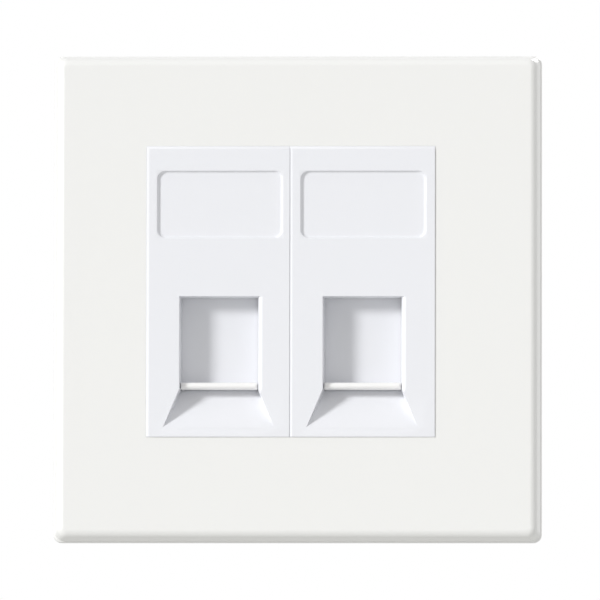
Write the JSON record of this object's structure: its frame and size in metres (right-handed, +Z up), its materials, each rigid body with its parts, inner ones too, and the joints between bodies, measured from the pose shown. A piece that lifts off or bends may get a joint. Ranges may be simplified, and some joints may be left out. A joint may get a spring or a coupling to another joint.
{
  "type": "keystone faceplate",
  "caption": "Square screwless wall plate with side-by-side shuttered data modules, label recesses and sprung sliding shutters over jack ports.",
  "frame": {"origin": "midway between the box screws, in the plane of the wall", "axes": "+Z up, the front faces -Y, +Y goes into the wall, +X to the right seen from the front"},
  "size_m": [0.086, 0.0297, 0.086],
  "materials": {
    "plate_urea": "satin white urea moulding",
    "frame_nylon": "natural white nylon, matt",
    "screw_zinc": "bright zinc plate",
    "bezel_abs": "fine satin white ABS",
    "shutter_abs": "satin white ABS",
    "spring_steel": "drawn spring wire",
    "holder_abs": "matt white ABS",
    "jack_polycarbonate": "off-white polycarbonate",
    "carrier_pbt": "black PBT",
    "contact_gold": "gold flash on phosphor bronze",
    "board_fr4": "green solder mask on glass epoxy",
    "block_polycarbonate": "off-white polycarbonate",
    "terminal_bronze": "tin on phosphor bronze",
    "cap_polycarbonate": "clear-to-white polycarbonate cap"
  },
  "bodies": {
    "plate": {"front_plate": "plate_urea", "mounting_frame": "frame_nylon", "fixing_screw_left": "screw_zinc", "fixing_screw_right": "screw_zinc", "module_bezel_left": "bezel_abs", "shutter_spring_left": "spring_steel", "keystone_holder_left": "holder_abs", "jack_housing_left": "jack_polycarbonate", "contact_carrier_left": "carrier_pbt", "contact_wires_left": "contact_gold", "jack_board_left": "board_fr4", "terminal_block_left": "block_polycarbonate", "slit_terminals_left": "terminal_bronze", "wire_cap_left": "cap_polycarbonate", "module_bezel_right": "bezel_abs", "shutter_spring_right": "spring_steel", "keystone_holder_right": "holder_abs", "jack_housing_right": "jack_polycarbonate", "contact_carrier_right": "carrier_pbt", "contact_wires_right": "contact_gold", "jack_board_right": "board_fr4", "terminal_block_right": "block_polycarbonate", "slit_terminals_right": "terminal_bronze", "wire_cap_right": "cap_polycarbonate"},
    "shutter_left_body": {"shutter_left": "shutter_abs"},
    "shutter_right_body": {"shutter_right": "shutter_abs"}
  },
  "joints": [
    {"name": "shutter_left_slide", "type": "slide", "parent": "plate", "child": "shutter_left_body", "axis": [0, 0, 1], "range_m": [0, 0.0135], "stiffness_N_per_m": 40, "springref_m": -0.006, "deforming": ["shutter_spring_left"]},
    {"name": "shutter_right_slide", "type": "slide", "parent": "plate", "child": "shutter_right_body", "axis": [0, 0, 1], "range_m": [0, 0.0135], "stiffness_N_per_m": 40, "springref_m": -0.006, "deforming": ["shutter_spring_right"]}
  ]
}
